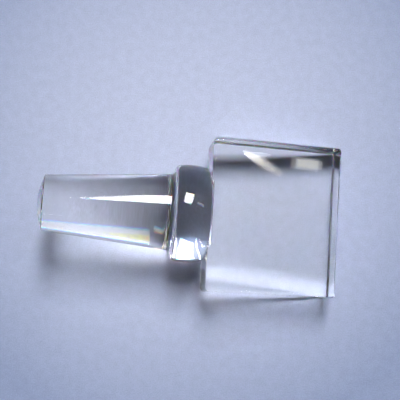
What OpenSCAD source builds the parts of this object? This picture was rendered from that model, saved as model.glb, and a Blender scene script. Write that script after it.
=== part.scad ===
// Solid glass stopper for a decanter or a large square-shouldered bottle.
// A tapered round plug, a short neck and a barrel-shaped collar are one turned form,
// and a flat slab of glass stands on the collar as the finger grip. It is one casting.
// It is shown as it lies on a table: on the collar and on the far lower edge of the slab.

/* [Plug] */
// Length of the plug's tapered side, from the rim of its tip to the neck
plug_len = 34.6; // [20:0.1:60]
// Diameter at the rim of the tip
plug_tip_d = 15.6; // [10:0.1:17]
// Diameter at the end next to the neck
plug_root_d = 21.5; // [18:0.1:25]
// How far the domed end face stands out beyond its rim
tip_dome = 1.6; // [0.8:0.1:3]
// Rounding of the rim between the domed end and the tapered side
tip_round = 0.3; // [0.1:0.1:1]

/* [Neck] */
// Width of the neck, from the end of the taper to the collar
neck_w = 1.4; // [1.3:0.1:4]
// Radius of the hollow curve by which the neck runs into the collar's flank
neck_hollow = 1.3; // [0.2:0.1:1.4]

/* [Collar] */
// Diameter of the collar over its crown
collar_d = 27.6; // [26.5:0.1:40]
// Width of the collar along the stopper
collar_w = 9.8; // [7:0.1:16]
// Radius of the crown along the stopper, which gives the collar its barrel form
crown_r = 17; // [10:0.5:40]
// How far the collar's widest ring lies from its mid width, toward the plug
crown_shift = 0.6; // [0:0.1:1.5]
// Rounding of the collar's edge on the plug side
collar_front_round = 1.3; // [0.4:0.1:2.4]
// Rounding of the collar's edge on the head side
collar_back_round = 2.1; // [0.4:0.1:2.4]

/* [Head] */
// Length of the slab, from the collar to its far end
head_len = 36.3; // [25:0.5:60]
// Width of the slab at the collar
head_w = 43; // [36:0.5:60]
// Width of the slab at its far end
head_end_w = 42; // [34:0.5:60]
// Thickness of the slab
head_t = 13.9; // [10:0.1:18]
// Rounding of the slab's long edges and of its far edges
arris = 0.5; // [0.2:0.1:1]
// Rounding of the two shoulder corners beside the collar
shoulder_round = 1.2; // [0.4:0.1:3]
// Fillet where the slab's broad faces meet the back of the collar
root_fillet = 1; // [0.3:0.1:1.5]

/* [Hidden] */
$fn = 96;

// Stations along the stopper's axis, from the rim of the tip
neck_s = plug_len;
collar_s = neck_s + neck_w;
head_s = collar_s + collar_w;
end_s = head_s + head_len;

// The plug's taper, and the sphere of its domed end
tip_r = plug_tip_d / 2;
root_r = plug_root_d / 2;
plug_taper = atan((root_r - tip_r) / plug_len);
dome_r = (pow(tip_r, 2) + pow(tip_dome, 2)) / (2 * tip_dome);
dome_s = dome_r - tip_dome;

// The rim's arc touches the tapered side and the dome from inside. Its centre lies on a line
// that runs within the side at the arc's radius, and on a circle as far within the dome.
inner_line_r = tip_r - tip_round / cos(plug_taper);
line_slope = tan(plug_taper);
centre_lean = dome_s - inner_line_r * line_slope;
centre_reach = pow(dome_s, 2) + pow(inner_line_r, 2) - pow(dome_r - tip_round, 2);
rim_arc_s = (centre_lean - sqrt(pow(centre_lean, 2) - (1 + pow(line_slope, 2)) * centre_reach))
    / (1 + pow(line_slope, 2));
rim_arc_r = inner_line_r + line_slope * rim_arc_s;

// Where the rim's arc meets the dome and the tapered side: radius, then station
dome_touch = [
    rim_arc_r * dome_r / (dome_r - tip_round),
    dome_s + (rim_arc_s - dome_s) * dome_r / (dome_r - tip_round)
];
side_touch = [
    rim_arc_r + tip_round * cos(plug_taper),
    rim_arc_s - tip_round * sin(plug_taper)
];

// The crown's arc is centred level with the collar's widest ring, across the axis from it
crown_s = collar_s + collar_w / 2 - crown_shift;
crown_centre = collar_d / 2 - crown_r;
front_reach = crown_s - collar_s;
back_reach = head_s - crown_s;

// An edge arc lies inside the crown's arc and touches it, and touches the flank, which is
// at the reach from the widest ring. This is the radius of its centre about the axis.
function edge_arc_r(edge, reach) =
    crown_centre + sqrt(pow(crown_r - edge, 2) - pow(reach - edge, 2));

// Where the crown's arc takes over from an edge arc: the radius there about the axis, and
// the distance from the widest ring
function crown_touch(edge, reach) =
    [crown_centre + (edge_arc_r(edge, reach) - crown_centre) * crown_r / (crown_r - edge),
     (reach - edge) * crown_r / (crown_r - edge)];

front_arc_r = edge_arc_r(collar_front_round, front_reach);
back_arc_r = edge_arc_r(collar_back_round, back_reach);
front_touch = crown_touch(collar_front_round, front_reach);
back_touch = crown_touch(collar_back_round, back_reach);

// The slab narrows by this angle on each side
side_draft = atan((head_w - head_end_w) / 2 / head_len);

// At rest the table touches the crown's arc and the rounded far edge. Both centres are
// taken in the plane of the axis, with the edge's centre measured from the crown's.
far_edge_dx = end_s - arris - crown_s;
far_edge_dz = crown_centre - (head_t / 2 - arris);
rest_tilt = asin((crown_r - arris) / norm([far_edge_dx, far_edge_dz]))
    + atan(far_edge_dz / far_edge_dx);
axis_height = crown_s * sin(rest_tilt) + crown_centre * cos(rest_tilt) + crown_r;

// The ends of the resting stopper, which set the middle of its length
tip_x = dome_s * cos(rest_tilt) - dome_r;
far_x = (end_s - arris) * cos(rest_tilt) + (head_t / 2 - arris) * sin(rest_tilt) + arris;
mid_x = (tip_x + far_x) / 2;

// How far cutting shapes run past what they cut
margin = 2;

// Outline of the plug and of the straight core of the neck, as radius across and the axis
// upwards: the dome, the rounded rim and the tapered side
module plug_outline() {
    polygon([
        [0, dome_touch[1]],
        dome_touch,
        side_touch,
        [root_r, neck_s],
        [root_r, collar_s],
        [0, collar_s]
    ]);
    translate([rim_arc_r, rim_arc_s])
        circle(r = tip_round);
    intersection() {
        translate([0, dome_s])
            circle(r = dome_r);
        translate([0, -tip_dome])
            square([tip_r, dome_touch[1] + tip_dome]);
    }
}

// Outline of the neck's hollow curve. It stays inside the collar's flat flank.
module neck_outline() {
    intersection() {
        difference() {
            translate([0, collar_s - neck_hollow])
                square([root_r + neck_hollow, 2 * neck_hollow]);
            translate([root_r + neck_hollow, collar_s - neck_hollow])
                circle(r = neck_hollow);
        }
        square([front_arc_r, head_s]);
    }
}

// Outline of the collar: flat flanks, rounded edges and a barrel crown
module collar_outline() {
    front_s = crown_s - front_touch[1];
    back_s = crown_s + back_touch[1];
    polygon([
        [0, collar_s],
        [front_arc_r, collar_s],
        [front_touch[0], front_s],
        [back_touch[0], back_s],
        [back_arc_r, head_s],
        [0, head_s]
    ]);
    translate([front_arc_r, collar_s + collar_front_round])
        circle(r = collar_front_round);
    translate([back_arc_r, head_s - collar_back_round])
        circle(r = collar_back_round);
    intersection() {
        translate([crown_centre, crown_s])
            circle(r = crown_r);
        polygon([
            [front_touch[0], front_s],
            [collar_d, front_s],
            [collar_d, back_s],
            [back_touch[0], back_s]
        ]);
    }
}

// Plug, neck and collar, turned as one form about the X axis
module turned_form() {
    rotate([0, 90, 0])
        rotate_extrude() {
            plug_outline();
            neck_outline();
            collar_outline();
        }
}

// One long side of the slab's section, with both its edges rounded
module side_section(width) {
    half_t = head_t / 2;
    translate([-width, -half_t])
        square([width - arris, head_t]);
    translate([-width, -half_t + arris])
        square([width, head_t - 2 * arris]);
    for (side = [-1, 1])
        translate([-arris, side * (half_t - arris)])
            circle(r = arris);
}

// Everything on the near side of one long side of the slab, with that side's draft
module side_limit() {
    translate([head_s, head_w / 2, 0])
        rotate([0, 0, -side_draft])
            translate([-margin, 0, 0])
                rotate([90, 0, 90])
                    linear_extrude(height = head_len + 2 * margin)
                        side_section(head_w + margin);
}

// The slab from the side, with its four cross edges rounded
module end_limit() {
    half_t = head_t / 2;
    translate([0, head_w / 2 + margin, 0])
        rotate([90, 0, 0])
            linear_extrude(height = head_w + 2 * margin) {
                translate([head_s, -half_t + arris])
                    square([head_len, head_t - 2 * arris]);
                translate([head_s + arris, -half_t])
                    square([head_len - 2 * arris, head_t]);
                for (along = [head_s + arris, end_s - arris], side = [-1, 1])
                    translate([along, side * (half_t - arris)])
                        circle(r = arris);
            }
}

// Takes an upright corner off the slab and leaves a rounding that touches its side and
// its end. end_side is -1 at the collar and 1 at the far end.
module corner_cut(radius, end_side) {
    corner_s = end_side < 0 ? head_s : end_s;
    arc_s = corner_s - end_side * radius;
    arc_y = head_w / 2 - (arc_s - head_s) * tan(side_draft) - radius / cos(side_draft);
    reach = radius + margin;
    translate([arc_s, arc_y])
        linear_extrude(height = head_t + 2 * margin, center = true)
            difference() {
                polygon([
                    [0, 0],
                    [end_side * reach, 0],
                    [end_side * reach, reach],
                    [reach * sin(side_draft), reach * cos(side_draft)]
                ]);
                circle(r = radius);
            }
}

// The two corner cuts on one long side
module side_corner_cuts() {
    corner_cut(shoulder_round, -1);
    corner_cut(arris, 1);
}

// Fillets along the two lines where the slab's broad faces meet the collar. They stay
// inside the collar's flat back.
module root_fillets() {
    intersection() {
        translate([head_s - margin, 0, 0])
            rotate([0, 90, 0])
                cylinder(r = back_arc_r, h = root_fillet + 2 * margin);
        union() {
            root_fillet_bar();
            mirror([0, 0, 1])
                root_fillet_bar();
        }
    }
}

// A bar with a hollow quarter-round section, along the upper root line
module root_fillet_bar() {
    half_t = head_t / 2;
    difference() {
        translate([head_s - root_fillet, -head_w / 2, half_t - root_fillet])
            cube([2 * root_fillet, head_w, 2 * root_fillet]);
        translate([head_s + root_fillet, 0, half_t + root_fillet])
            rotate([90, 0, 0])
                cylinder(r = root_fillet, h = head_w + 2 * margin, center = true);
    }
}

// The flat slab that is the finger grip
module slab() {
    difference() {
        intersection() {
            side_limit();
            mirror([0, 1, 0])
                side_limit();
            end_limit();
        }
        side_corner_cuts();
        mirror([0, 1, 0])
            side_corner_cuts();
    }
    root_fillets();
}

module stopper() {
    color([0.86, 0.89, 0.93, 0.45])
        translate([-mid_x, 0, axis_height])
            rotate([0, rest_tilt, 0]) {
                turned_form();
                slab();
            }
}

stopper();
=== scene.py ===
import math

import bpy
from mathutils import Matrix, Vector


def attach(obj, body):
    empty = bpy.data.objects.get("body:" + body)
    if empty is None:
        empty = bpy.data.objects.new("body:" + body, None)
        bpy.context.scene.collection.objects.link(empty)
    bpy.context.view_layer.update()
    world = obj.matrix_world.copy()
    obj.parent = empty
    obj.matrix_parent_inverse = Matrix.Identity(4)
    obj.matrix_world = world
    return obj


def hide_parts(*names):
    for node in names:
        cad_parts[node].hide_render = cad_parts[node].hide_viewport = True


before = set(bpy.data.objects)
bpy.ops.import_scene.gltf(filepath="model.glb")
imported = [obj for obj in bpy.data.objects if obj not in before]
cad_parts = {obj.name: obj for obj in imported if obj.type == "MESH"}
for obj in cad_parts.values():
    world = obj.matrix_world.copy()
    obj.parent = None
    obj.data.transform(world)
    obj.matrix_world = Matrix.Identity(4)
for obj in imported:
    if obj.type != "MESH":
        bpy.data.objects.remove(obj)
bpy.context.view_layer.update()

bpy.ops.object.select_all(action="DESELECT")

# The plug, neck and collar. One turned form of clear glass, pressed hot in a mould. The plug
# was ground to fit its bottle afterwards. The form is drawn out of a small ring along the X
# axis, and lies level at first, with the rim of its tip at X = 0.
plug_length = 0.0346
tip_radius = 0.0078
root_radius = 0.01075
tip_dome = 0.0016
tip_rounding = 0.00012
neck_width = 0.0014
neck_hollow = 0.0013
collar_radius = 0.0138
collar_width = 0.0098
crown_radius = 0.017
crown_offset = 0.0006
front_rounding = 0.0013
back_rounding = 0.0021
core_radius = 0.006
core_overlap = 0.002
facets_round = 256

collar_x = plug_length + neck_width
head_x = collar_x + collar_width
crown_x = (collar_x + head_x) / 2 - crown_offset
crown_centre = collar_radius - crown_radius
taper = math.atan((root_radius - tip_radius) / plug_length)
slope = math.tan(taper)

# The dome is part of a ball. The rim's rounding touches the ball and the tapered side. The
# outline starts on a small ring round the dome's middle, and ends on a core in the slab.
dome_radius = (tip_radius ** 2 + tip_dome ** 2) / (2 * tip_dome)
dome_x = dome_radius - tip_dome
inner = tip_radius - tip_rounding / math.cos(taper)
lean = dome_x - inner * slope
reach = dome_x ** 2 + inner ** 2 - (dome_radius - tip_rounding) ** 2
rim_x = (lean - math.sqrt(lean ** 2 - (1 + slope ** 2) * reach)) / (1 + slope ** 2)
rim_radius = inner + slope * rim_x
dome_end = math.atan2(rim_radius, rim_x - dome_x)
dome_ring = 0.0003


def arc(x, radius, bend, start, end, steps):
    """Stations along an arc in the profile, from one direction to another in radians."""
    turns = [start + (end - start) * i / steps for i in range(steps + 1)]
    return [(x + bend * math.cos(t), radius + bend * math.sin(t)) for t in turns]


def edge_centre(flank_x, rounding):
    """Centre of the rounding that touches a flank of the collar and its crown."""
    inward = 1 if flank_x < crown_x else -1
    x = flank_x + inward * rounding
    return x, crown_centre + math.sqrt((crown_radius - rounding) ** 2 - (x - crown_x) ** 2)


def toward_crown(centre):
    return math.atan2(centre[1] - crown_centre, centre[0] - crown_x)


front = edge_centre(collar_x, front_rounding)
back = edge_centre(head_x, back_rounding)
profile = arc(dome_x, 0, dome_radius, math.pi - dome_ring / dome_radius, dome_end, 16)
profile += arc(rim_x, rim_radius, tip_rounding, dome_end, math.pi / 2 + taper, 6)[1:]
profile += [(plug_length, root_radius)]
profile += arc(collar_x - neck_hollow, root_radius + neck_hollow, neck_hollow,
               -math.pi / 2, 0, 12)
profile += arc(*front, front_rounding, math.pi, toward_crown(front), 12)
profile += arc(crown_x, crown_centre, crown_radius,
               toward_crown(front), toward_crown(back), 20)[1:]
profile += arc(*back, back_rounding, toward_crown(back), 0, 12)[1:]
profile += [(head_x, core_radius), (head_x + core_overlap, core_radius)]

bpy.ops.mesh.primitive_circle_add(vertices=facets_round, radius=profile[0][1],
                                  location=(profile[0][0], 0, 0),
                                  rotation=(0, math.pi / 2, 0))
bpy.ops.object.transform_apply(location=True, rotation=True, scale=True)
turned = bpy.context.object
turned.name = "turned_form"
bpy.ops.object.mode_set(mode="EDIT")
bpy.ops.mesh.select_all(action="SELECT")
here = profile[0]
for x, radius in profile[1:]:
    bpy.ops.mesh.extrude_region_move(TRANSFORM_OT_translate={"value": (x - here[0], 0, 0)})
    grow = radius / here[1]
    bpy.ops.transform.resize(value=(1, grow, grow), center_override=(x, 0, 0))
    here = (x, radius)
bpy.ops.mesh.select_all(action="SELECT")
bpy.ops.mesh.remove_doubles(threshold=1e-7)
bpy.ops.mesh.fill_holes(sides=0)
bpy.ops.mesh.select_all(action="SELECT")
bpy.ops.mesh.normals_make_consistent(inside=False)
bpy.ops.object.mode_set(mode="OBJECT")

# The slab. The flat finger grip stands square on the back of the collar. It was pressed in
# a mould, so it narrows a little towards its far end and every edge of it is rounded.
slab_length = 0.0363
slab_width = 0.043
slab_end_width = 0.042
slab_thickness = 0.0139
arris = 0.0008
shoulder_rounding = 0.0012

bpy.ops.object.select_all(action="DESELECT")
bpy.ops.mesh.primitive_cube_add(size=1, location=(head_x + slab_length / 2, 0, 0),
                                scale=(slab_length, slab_width, slab_thickness))
bpy.ops.object.transform_apply(location=True, rotation=True, scale=True)
slab = bpy.context.object
slab.name = "stopper_glass"


def pick(piece, wanted, kind="vertices"):
    """Select the parts of a mesh that a test wants, and go into edit mode."""
    bpy.ops.object.mode_set(mode="EDIT")
    bpy.ops.mesh.select_mode(type={"vertices": "VERT", "edges": "EDGE"}[kind])
    bpy.ops.mesh.select_all(action="DESELECT")
    bpy.ops.object.mode_set(mode="OBJECT")
    points = piece.data.vertices
    for part in getattr(piece.data, kind):
        ends = [part.co] if kind == "vertices" else [points[i].co for i in part.vertices]
        part.select = all(wanted(p) for p in ends)
    bpy.ops.object.mode_set(mode="EDIT")


far_x = head_x + slab_length
hair = 1e-5
pick(slab, lambda p: p.x > far_x - hair)
bpy.ops.transform.resize(value=(1, slab_end_width / slab_width, 1),
                         center_override=(far_x, 0, 0))
for side in (1, -1):
    pick(slab, lambda p: p.x < head_x + hair and side * p.y > 0, "edges")
    bpy.ops.mesh.bevel(offset=shoulder_rounding, segments=8, profile=0.5)
bpy.ops.mesh.select_all(action="DESELECT")
bpy.ops.mesh.edges_select_sharp(sharpness=math.radians(45))
bpy.ops.mesh.bevel(offset=arris, segments=6, profile=0.5)
bpy.ops.object.mode_set(mode="OBJECT")

# The root. Glass fills the two inner corners where the slab's broad faces meet the collar,
# and with it the turned form and the slab are one piece.
root_fillet = 0.001
fillet_reach = 0.998 * back[1]


def fuse(piece, other, how):
    """Combine a piece with another one, which is used up."""
    bpy.ops.object.select_all(action="DESELECT")
    piece.select_set(True)
    bpy.context.view_layer.objects.active = piece
    step = piece.modifiers.new("fuse", "BOOLEAN")
    step.operation = how
    step.solver = "EXACT"
    step.object = other
    bpy.ops.object.modifier_apply(modifier=step.name)
    bpy.data.objects.remove(other)


for side in (-1, 1):
    bpy.ops.object.select_all(action="DESELECT")
    bpy.ops.mesh.primitive_cube_add(size=1, location=(head_x, 0, side * slab_thickness / 2),
                                    scale=(2 * root_fillet, slab_width, 2 * root_fillet))
    bpy.ops.object.transform_apply(location=True, rotation=True, scale=True)
    bar = bpy.context.object
    hollow_at = (head_x + root_fillet, 0, side * (slab_thickness / 2 + root_fillet))
    bpy.ops.mesh.primitive_cylinder_add(vertices=64, radius=root_fillet, location=hollow_at,
                                        depth=1.5 * slab_width, rotation=(math.pi / 2, 0, 0))
    bpy.ops.object.transform_apply(location=True, rotation=True, scale=True)
    fuse(bar, bpy.context.object, "DIFFERENCE")
    bpy.ops.mesh.primitive_cylinder_add(vertices=facets_round, radius=fillet_reach,
                                        depth=4 * root_fillet, location=(head_x, 0, 0),
                                        rotation=(0, math.pi / 2, 0))
    bpy.ops.object.transform_apply(location=True, rotation=True, scale=True)
    fuse(bar, bpy.context.object, "INTERSECT")
    fuse(slab, bar, "UNION")
fuse(slab, turned, "UNION")
bpy.ops.object.mode_set(mode="EDIT")
bpy.ops.mesh.select_all(action="SELECT")
bpy.ops.mesh.remove_doubles(threshold=1e-6)
bpy.ops.mesh.dissolve_degenerate(threshold=1e-7)
bpy.ops.mesh.normals_make_consistent(inside=False)
bpy.ops.object.mode_set(mode="OBJECT")
stopper = slab

# The stopper as it lies on the table, on its collar and on the slab's far lower edge. The
# crown and that edge both touch Z = 0, and X = 0 is the middle of its length.
across = far_x - arris - crown_x
rise = crown_centre - (slab_thickness / 2 - arris)
rest_tilt = math.asin((crown_radius - arris) / math.hypot(across, rise)) + math.atan(
    rise / across)
axis_height = (crown_x * math.sin(rest_tilt) + crown_centre * math.cos(rest_tilt)
               + crown_radius)
near_end = dome_x * math.cos(rest_tilt) - dome_radius
far_end = ((far_x - arris) * math.cos(rest_tilt)
           + (slab_thickness / 2 - arris) * math.sin(rest_tilt) + arris)
mid_x = (near_end + far_end) / 2
stopper.rotation_euler = (0, rest_tilt, 0)
stopper.location = (-mid_x, 0, axis_height)
bpy.ops.object.transform_apply(location=True, rotation=True, scale=True)
bpy.ops.object.shade_smooth_by_angle(angle=math.radians(32))
steady = stopper.modifiers.new("steady", "WEIGHTED_NORMAL")
steady.keep_sharp = True
bpy.ops.object.modifier_apply(modifier=steady.name)

# The glass, with the skin that pressing and grinding left. It is clear and almost without
# colour. The faces were fire-polished and wave very slightly. The plug was ground to fit
# its bottle and polished again, and fine rings still run round it.
glass_index = 1.46
warm_tint = (1.0, 0.99, 0.955, 1)
cool_tint = (0.985, 0.98, 0.965, 1)
ring_depth = 0.0000035
ring_dullness = 0.012
ring_fade = 0.002
wave_depth = 0.000006

glass = bpy.data.materials.new("clear_glass")
glass.use_nodes = True
nodes, links = glass.node_tree.nodes, glass.node_tree.links
skin = nodes["Principled BSDF"]
skin.inputs["IOR"].default_value = glass_index
skin.inputs["Transmission Weight"].default_value = 1.0

# Object coordinates, turned back so that X runs along the stopper from the rim of its tip
spot = nodes.new("ShaderNodeTexCoord")
along = nodes.new("ShaderNodeMapping")
along.inputs["Rotation"].default_value = (0, -rest_tilt, 0)
along.inputs["Location"].default_value = (
    mid_x * math.cos(rest_tilt) + axis_height * math.sin(rest_tilt), 0,
    mid_x * math.sin(rest_tilt) - axis_height * math.cos(rest_tilt))
links.new(spot.outputs["Object"], along.inputs["Vector"])
split = nodes.new("ShaderNodeSeparateXYZ")
links.new(along.outputs["Vector"], split.inputs["Vector"])

# 1 on the ground plug, and 0 from the neck onward
ground = nodes.new("ShaderNodeMapRange")
ground.interpolation_type = "SMOOTHSTEP"
ground.inputs["From Min"].default_value = plug_length - ring_fade
ground.inputs["From Max"].default_value = plug_length
ground.inputs["To Min"].default_value = 1.0
ground.inputs["To Max"].default_value = 0.0
links.new(split.outputs["X"], ground.inputs["Value"])

rings = nodes.new("ShaderNodeTexNoise")
rings.noise_dimensions = "1D"
rings.inputs["Scale"].default_value = 2400
rings.inputs["Detail"].default_value = 3
links.new(split.outputs["X"], rings.inputs["W"])
ring_height = nodes.new("ShaderNodeMath")
ring_height.operation = "MULTIPLY"
links.new(rings.outputs["Fac"], ring_height.inputs[0])
links.new(ground.outputs["Result"], ring_height.inputs[1])
ring_bump = nodes.new("ShaderNodeBump")
ring_bump.inputs["Distance"].default_value = ring_depth
links.new(ring_height.outputs["Value"], ring_bump.inputs["Height"])

waves = nodes.new("ShaderNodeTexNoise")
waves.inputs["Scale"].default_value = 90
waves.inputs["Detail"].default_value = 1
links.new(along.outputs["Vector"], waves.inputs["Vector"])
wave_bump = nodes.new("ShaderNodeBump")
wave_bump.inputs["Distance"].default_value = wave_depth
links.new(waves.outputs["Fac"], wave_bump.inputs["Height"])
links.new(ring_bump.outputs["Normal"], wave_bump.inputs["Normal"])
links.new(wave_bump.outputs["Normal"], skin.inputs["Normal"])

polish = nodes.new("ShaderNodeMath")
polish.operation = "MULTIPLY"
polish.inputs[1].default_value = ring_dullness
links.new(ring_height.outputs["Value"], polish.inputs[0])
links.new(polish.outputs["Value"], skin.inputs["Roughness"])

tint = nodes.new("ShaderNodeMix")
tint.data_type = "RGBA"
tint.inputs["A"].default_value = warm_tint
tint.inputs["B"].default_value = cool_tint
cloud = nodes.new("ShaderNodeTexNoise")
cloud.inputs["Scale"].default_value = 45
links.new(along.outputs["Vector"], cloud.inputs["Vector"])
links.new(cloud.outputs["Fac"], tint.inputs["Factor"])
links.new(tint.outputs["Result"], skin.inputs["Base Color"])

stopper.data.materials.clear()
stopper.data.materials.append(glass)
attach(stopper, "root")
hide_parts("stopper")

# The table. A sheet of pale bluish paper, matt, with a fine grain. Shade is painted into its
# # colour: it is palest round the stopper and deeper and bluer further out, where the light
# falls off.
sheet_size = 30
lit_paper_colour = (0.528, 0.576, 0.765, 1)
painted_shade_colour = (0.284, 0.342, 0.521, 1)
painted_light_centre = (-0.002, 0.0213, 0)
painted_shade_reach = 0.086
tooth_height = 0.000008

bpy.ops.object.select_all(action="DESELECT")
bpy.ops.mesh.primitive_plane_add(size=sheet_size)
sheet = bpy.context.object
sheet.name = "paper_sheet"
paper = bpy.data.materials.new("pale_paper")
paper.use_nodes = True
nodes, links = paper.node_tree.nodes, paper.node_tree.links
matt = nodes["Principled BSDF"]
matt.inputs["Roughness"].default_value = 0.9
matt.inputs["Specular IOR Level"].default_value = 0.0

place = nodes.new("ShaderNodeTexCoord")
# Painted shade: the sheet's colour goes from the lit tone to a darker, bluer one with distance
# from a point near the stopper
away = nodes.new("ShaderNodeVectorMath")
away.operation = "DISTANCE"
away.inputs[1].default_value = painted_light_centre
links.new(place.outputs["Object"], away.inputs[0])
share = nodes.new("ShaderNodeMath")
share.operation = "DIVIDE"
share.inputs[1].default_value = painted_shade_reach
links.new(away.outputs["Value"], share.inputs[0])
fade = nodes.new("ShaderNodeMath")
fade.operation = "POWER"
fade.use_clamp = True
fade.inputs[1].default_value = 2
links.new(share.outputs["Value"], fade.inputs[0])
shade = nodes.new("ShaderNodeMix")
shade.data_type = "RGBA"
shade.inputs["A"].default_value = lit_paper_colour
shade.inputs["B"].default_value = painted_shade_colour
links.new(fade.outputs["Value"], shade.inputs["Factor"])


def speckle(scale, detail, low, high, most):
    """A noise over the sheet, and a factor that goes from 1 - most to 1 + most with it."""
    noise = nodes.new("ShaderNodeTexNoise")
    noise.inputs["Scale"].default_value = scale
    noise.inputs["Detail"].default_value = detail
    links.new(place.outputs["Object"], noise.inputs["Vector"])
    factor = nodes.new("ShaderNodeMapRange")
    factor.inputs["From Min"].default_value = low
    factor.inputs["From Max"].default_value = high
    factor.inputs["To Min"].default_value = 1 - most
    factor.inputs["To Max"].default_value = 1 + most
    links.new(noise.outputs["Fac"], factor.inputs["Value"])
    return noise, factor


grain, fibre = speckle(2600, 3, 0.25, 0.75, 0.11)
mottle, blotch = speckle(420, 2, 0.3, 0.7, 0.04)
both = nodes.new("ShaderNodeMath")
both.operation = "MULTIPLY"
links.new(fibre.outputs["Result"], both.inputs[0])
links.new(blotch.outputs["Result"], both.inputs[1])
speck = nodes.new("ShaderNodeVectorMath")
speck.operation = "SCALE"
links.new(shade.outputs["Result"], speck.inputs["Vector"])
links.new(both.outputs["Value"], speck.inputs["Scale"])
links.new(speck.outputs["Vector"], matt.inputs["Base Color"])
tooth = nodes.new("ShaderNodeBump")
tooth.inputs["Distance"].default_value = tooth_height
links.new(grain.outputs["Fac"], tooth.inputs["Height"])
links.new(tooth.outputs["Normal"], matt.inputs["Normal"])
sheet.data.materials.append(paper)

# The light. One tall window lights the room, which is dim otherwise. A second window, a
# slanting gleam and a small pale patch are faint, and show only as glints in the glass.
light_distance = 6.0
room_colour = (0.038, 0.033, 0.022, 1)

world = bpy.data.worlds.new("room")
bpy.context.scene.world = world
world.use_nodes = True
world.node_tree.nodes["Background"].inputs["Color"].default_value = room_colour


def shine(name, toward, size, watts, turn, shape="RECTANGLE", colour=(1, 1, 1)):
    """A flat lamp that faces the stopper from one direction, turned about that direction."""
    data = bpy.data.lights.new(name, "AREA")
    data.shape = shape
    data.color = colour
    data.size = size[0] * light_distance
    data.size_y = size[1] * light_distance
    data.energy = watts * light_distance ** 2
    lamp = bpy.data.objects.new(name, data)
    bpy.context.collection.objects.link(lamp)
    ray = Vector(toward).normalized()
    lamp.location = ray * light_distance
    lamp.rotation_euler = ray.to_track_quat("Z", "Y").to_euler()
    lamp.rotation_euler.rotate_axis("Z", math.radians(turn))


def shine_split(name, toward, size, watts, turn, apart):
    """A lamp in three colours a little apart, for the rainbow edges of light in thick glass."""
    for colour, step in (((1, 0, 0), 1), ((0, 1, 0), 0), ((0, 0, 1), -1)):
        aside = (toward[0] + step * apart[0], toward[1] + step * apart[1], 1)
        shine(name, aside, size, watts, turn, colour=colour)


shine_split("window", (0.132, 0.57, 1), (0.262, 0.44), 11.2, 3, (0.001, 0.005))
shine_split("far_window", (0.59, 0.345, 1), (0.24, 0.08), 0.42, 32, (0.008, 0.02))
shine("patch", (0.4315, 0.1985, 1), (0.014, 0.0286), 0.0058, -27)
shine("patch_edge", (0.4275, 0.1985, 1), (0.016, 0.035), 0.0038, -27)

# The slant is made of four ovals, one over another, so that its edge and its end are soft
shine("slant", (0.3665, 0.1925, 1), (0.057, 0.012), 0.0048, 33.6, "ELLIPSE", (1.0, 0.88, 0.76))
shine("slant_middle", (0.361, 0.1945, 1), (0.046, 0.009), 0.0038, 33.6, "ELLIPSE")
shine("slant_end", (0.3532, 0.1979, 1), (0.03, 0.006), 0.002, 33.6, "ELLIPSE")
shine("slant_cap", (0.3585, 0.2032, 1), (0.006, 0.034), 0.003, -27, "ELLIPSE")

# The camera. It looks almost straight down on the stopper, from about 25 cm above the
# table, and frames it with a little of the paper round it.
camera = bpy.data.cameras.new("camera")
camera.sensor_width = 36
camera.lens = 75.706
camera.clip_start = 0.01
eye = bpy.data.objects.new("camera", camera)
bpy.context.collection.objects.link(eye)
eye.location = (0.01845014, -0.02634882, 0.24904265)
eye.rotation_euler = [math.radians(v) for v in (7.573828, 3.304217, 3.690372)]
bpy.context.scene.camera = eye

# Clear glass needs many bounces, and its bright spots on the paper must stay unclipped.
scene = bpy.context.scene
scene.view_settings.view_transform = "Standard"
scene.cycles.blur_glossy = 0.0
scene.cycles.sample_clamp_indirect = 0.0
scene.cycles.max_bounces = 32
scene.cycles.transmission_bounces = 32
scene.cycles.glossy_bounces = 24
scene.cycles.diffuse_bounces = 4
